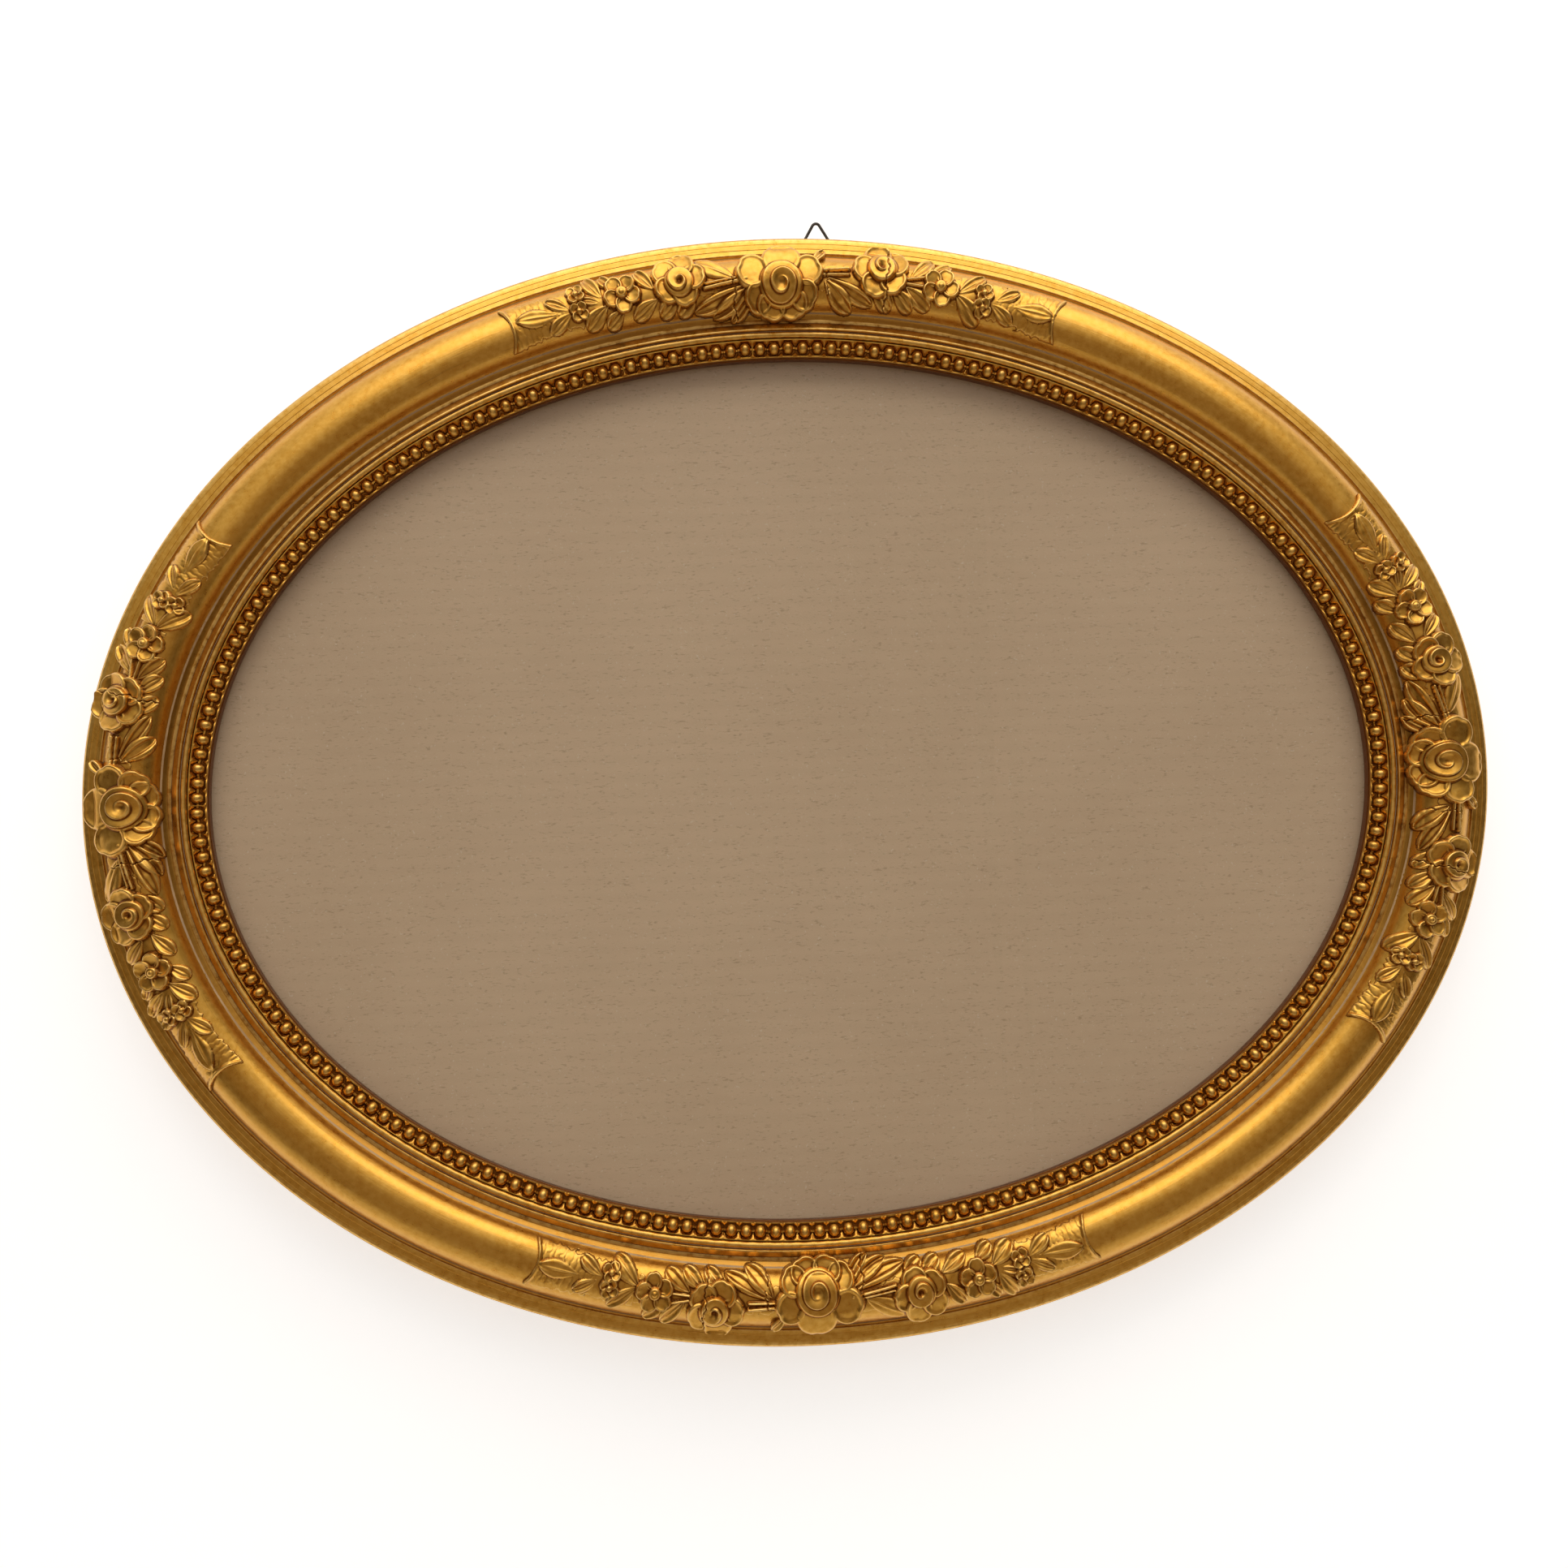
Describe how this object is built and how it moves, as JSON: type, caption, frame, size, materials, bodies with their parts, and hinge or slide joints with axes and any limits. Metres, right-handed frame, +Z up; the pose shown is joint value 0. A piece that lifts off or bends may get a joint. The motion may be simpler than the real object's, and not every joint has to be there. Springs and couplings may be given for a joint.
{
  "type": "oval picture frame",
  "caption": "Oval gilt picture frame: stepped moulding with cast flower garlands on its big round, a beaded sight edge, flat glass, a backing board and a wire hanging ring.",
  "frame": {"origin": "underside of the hanging ring's top bend, where the hook bears", "axes": "+X to the viewer's right along the oval's long axis, +Z up, and the front looks along -Y"},
  "size_m": [0.57, 0.0328, 0.4589],
  "materials": {
    "gilded_wood": "satin gilding over gesso, rubbed at the edges",
    "gilded_composition": "satin gilding over cast composition, brown in the recesses",
    "beech": "bare",
    "picture_glass": "clear, polished",
    "kraft_board": "matte brown paper board",
    "steel": "dull, slightly worn",
    "steel_wire": "dark, dull",
    "screw_steel": "dull"
  },
  "bodies": {
    "frame": {"rim_top": "gilded_wood", "rim_top_right": "gilded_wood", "rim_right": "gilded_wood", "rim_bottom_right": "gilded_wood", "rim_bottom": "gilded_wood", "rim_bottom_left": "gilded_wood", "rim_left": "gilded_wood", "rim_top_left": "gilded_wood", "joint_dowels": "beech", "bead_strip_1": "gilded_composition", "bead_strip_2": "gilded_composition", "bead_strip_3": "gilded_composition", "bead_strip_4": "gilded_composition", "garland_top": "gilded_composition", "garland_right": "gilded_composition", "garland_bottom": "gilded_composition", "garland_left": "gilded_composition", "glass_pane": "picture_glass", "backing_board": "kraft_board", "hanger_plate": "steel", "turn_button_screws": "screw_steel", "hanger_screws": "screw_steel"},
    "hanging_ring": {"hanging_ring": "steel_wire"},
    "turn_button_1": {"turn_button_1": "steel"},
    "turn_button_2": {"turn_button_2": "steel"},
    "turn_button_3": {"turn_button_3": "steel"},
    "turn_button_4": {"turn_button_4": "steel"}
  },
  "joints": [
    {"name": "ring_swing", "type": "hinge", "parent": "frame", "child": "hanging_ring", "pos_m": [0, 0, -0.01859], "axis": [-1, 0, 0], "range_deg": [0, 168]},
    {"name": "turn_button_1_turn", "type": "hinge", "parent": "frame", "child": "turn_button_1", "pos_m": [0.15167, -0.00145, -0.08808], "axis": [0, 1, 0], "continuous": true},
    {"name": "turn_button_2_turn", "type": "hinge", "parent": "frame", "child": "turn_button_2", "pos_m": [0.15167, -0.00145, -0.37831], "axis": [0, 1, 0], "continuous": true},
    {"name": "turn_button_3_turn", "type": "hinge", "parent": "frame", "child": "turn_button_3", "pos_m": [-0.18587, -0.00145, -0.37831], "axis": [0, 1, 0], "continuous": true},
    {"name": "turn_button_4_turn", "type": "hinge", "parent": "frame", "child": "turn_button_4", "pos_m": [-0.18587, -0.00145, -0.08808], "axis": [0, 1, 0], "continuous": true}
  ]
}
